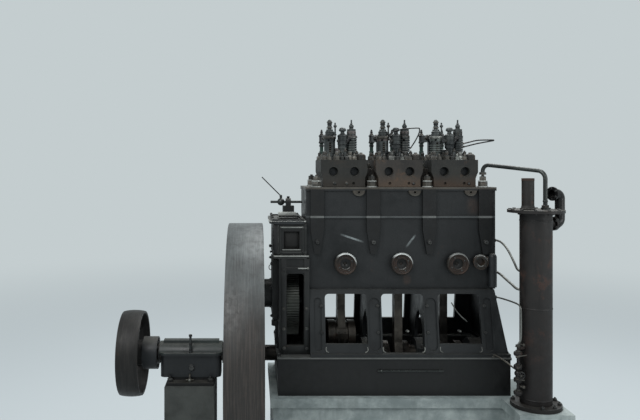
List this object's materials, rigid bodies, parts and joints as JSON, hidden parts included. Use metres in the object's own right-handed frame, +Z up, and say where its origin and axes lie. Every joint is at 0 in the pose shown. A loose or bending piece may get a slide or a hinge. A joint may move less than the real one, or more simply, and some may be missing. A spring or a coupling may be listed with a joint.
{
  "type": "three-cylinder stationary oil engine",
  "caption": "Upright open-frame oil engine on its foundation, with a turning crankshaft, spoked flywheel, belt pulley, outboard bearing and a receiver beside it.",
  "frame": {"origin": "underside of the foundation, below the crankshaft's axis at the middle cylinder", "axes": "+Z up, +X along the crankshaft away from the flywheel, front of the engine to -Y"},
  "size_m": [3.2679, 2.0396, 2.918],
  "materials": {
    "masonry": "matte",
    "cast_iron": "oily satin",
    "head_iron": "matte, rust-tinged",
    "flywheel_iron": "dull machined",
    "machined_steel": "oily",
    "valve_steel": "dull",
    "tarnished_brass": "tarnished",
    "pulley_iron": "dull",
    "pipe_steel": "satin",
    "receiver_iron": "matte, rusty"
  },
  "bodies": {
    "engine": {"foundation": "masonry", "bearing_pier": "masonry", "bedplate": "cast_iron", "drain_rod": "pipe_steel", "crank_frame": "cast_iron", "main_bearing_caps": "cast_iron", "cylinder_block": "cast_iron", "port_flanges": "tarnished_brass", "water_outlet": "tarnished_brass", "lifting_lugs": "cast_iron", "tie_bolt_nuts": "machined_steel", "cylinder_head_1": "head_iron", "cylinder_head_2": "head_iron", "cylinder_head_3": "head_iron", "valve_gear_1": "valve_steel", "valve_gear_2": "valve_steel", "valve_gear_3": "valve_steel", "rocker_arms": "valve_steel", "push_rods": "valve_steel", "fuel_pipes": "pipe_steel", "camshaft_housing": "cast_iron", "gear_case_lower": "cast_iron", "gear_case_upper": "cast_iron", "gear_case_cover": "cast_iron", "control_bracket": "valve_steel", "bearing_pedestal": "cast_iron", "bearing_housing": "cast_iron", "bearing_lid": "cast_iron", "lubricator": "valve_steel", "receiver_body": "receiver_iron", "receiver_top": "receiver_iron", "gooseneck_pipe": "pipe_steel", "return_bend": "receiver_iron", "side_pipes": "pipe_steel", "receiver_valves": "valve_steel"},
    "crank": {"crankshaft": "machined_steel", "flywheel": "flywheel_iron", "shaft_hub": "cast_iron", "belt_pulley": "pulley_iron"},
    "rod_1": {"connecting_rod_1": "machined_steel"},
    "rod_2": {"connecting_rod_2": "machined_steel"},
    "rod_3": {"connecting_rod_3": "machined_steel"},
    "timing": {"timing_gear": "machined_steel"},
    "control": {"control_shaft": "valve_steel", "control_lever": "valve_steel"}
  },
  "joints": [
    {"name": "crank_turn", "type": "hinge", "parent": "engine", "child": "crank", "pos_m": [0, 0, 1.08], "axis": [1, 0, 0], "continuous": true},
    {"name": "crankpin_1", "type": "hinge", "parent": "crank", "child": "rod_1", "pos_m": [-0.42, 0, 1.23], "axis": [1, 0, 0], "continuous": true},
    {"name": "crankpin_2", "type": "hinge", "parent": "crank", "child": "rod_2", "pos_m": [0, -0.1299, 1.005], "axis": [1, 0, 0], "continuous": true},
    {"name": "crankpin_3", "type": "hinge", "parent": "crank", "child": "rod_3", "pos_m": [0.42, 0.1299, 1.005], "axis": [1, 0, 0], "continuous": true},
    {"name": "timing_turn", "type": "hinge", "parent": "engine", "child": "timing", "pos_m": [-0.81, 0, 1.492], "axis": [1, 0, 0], "continuous": true},
    {"name": "control_turn", "type": "hinge", "parent": "engine", "child": "control", "pos_m": [-0.833, 0, 2.271], "axis": [1, 0, 0], "range_deg": [-30, 30]}
  ],
  "couplings": [
    {"joint": "crankpin_1", "follows": "crank_turn", "ratio": -1},
    {"joint": "crankpin_2", "follows": "crank_turn", "ratio": -1},
    {"joint": "crankpin_3", "follows": "crank_turn", "ratio": -1},
    {"joint": "timing_turn", "follows": "crank_turn", "ratio": -0.5}
  ]
}
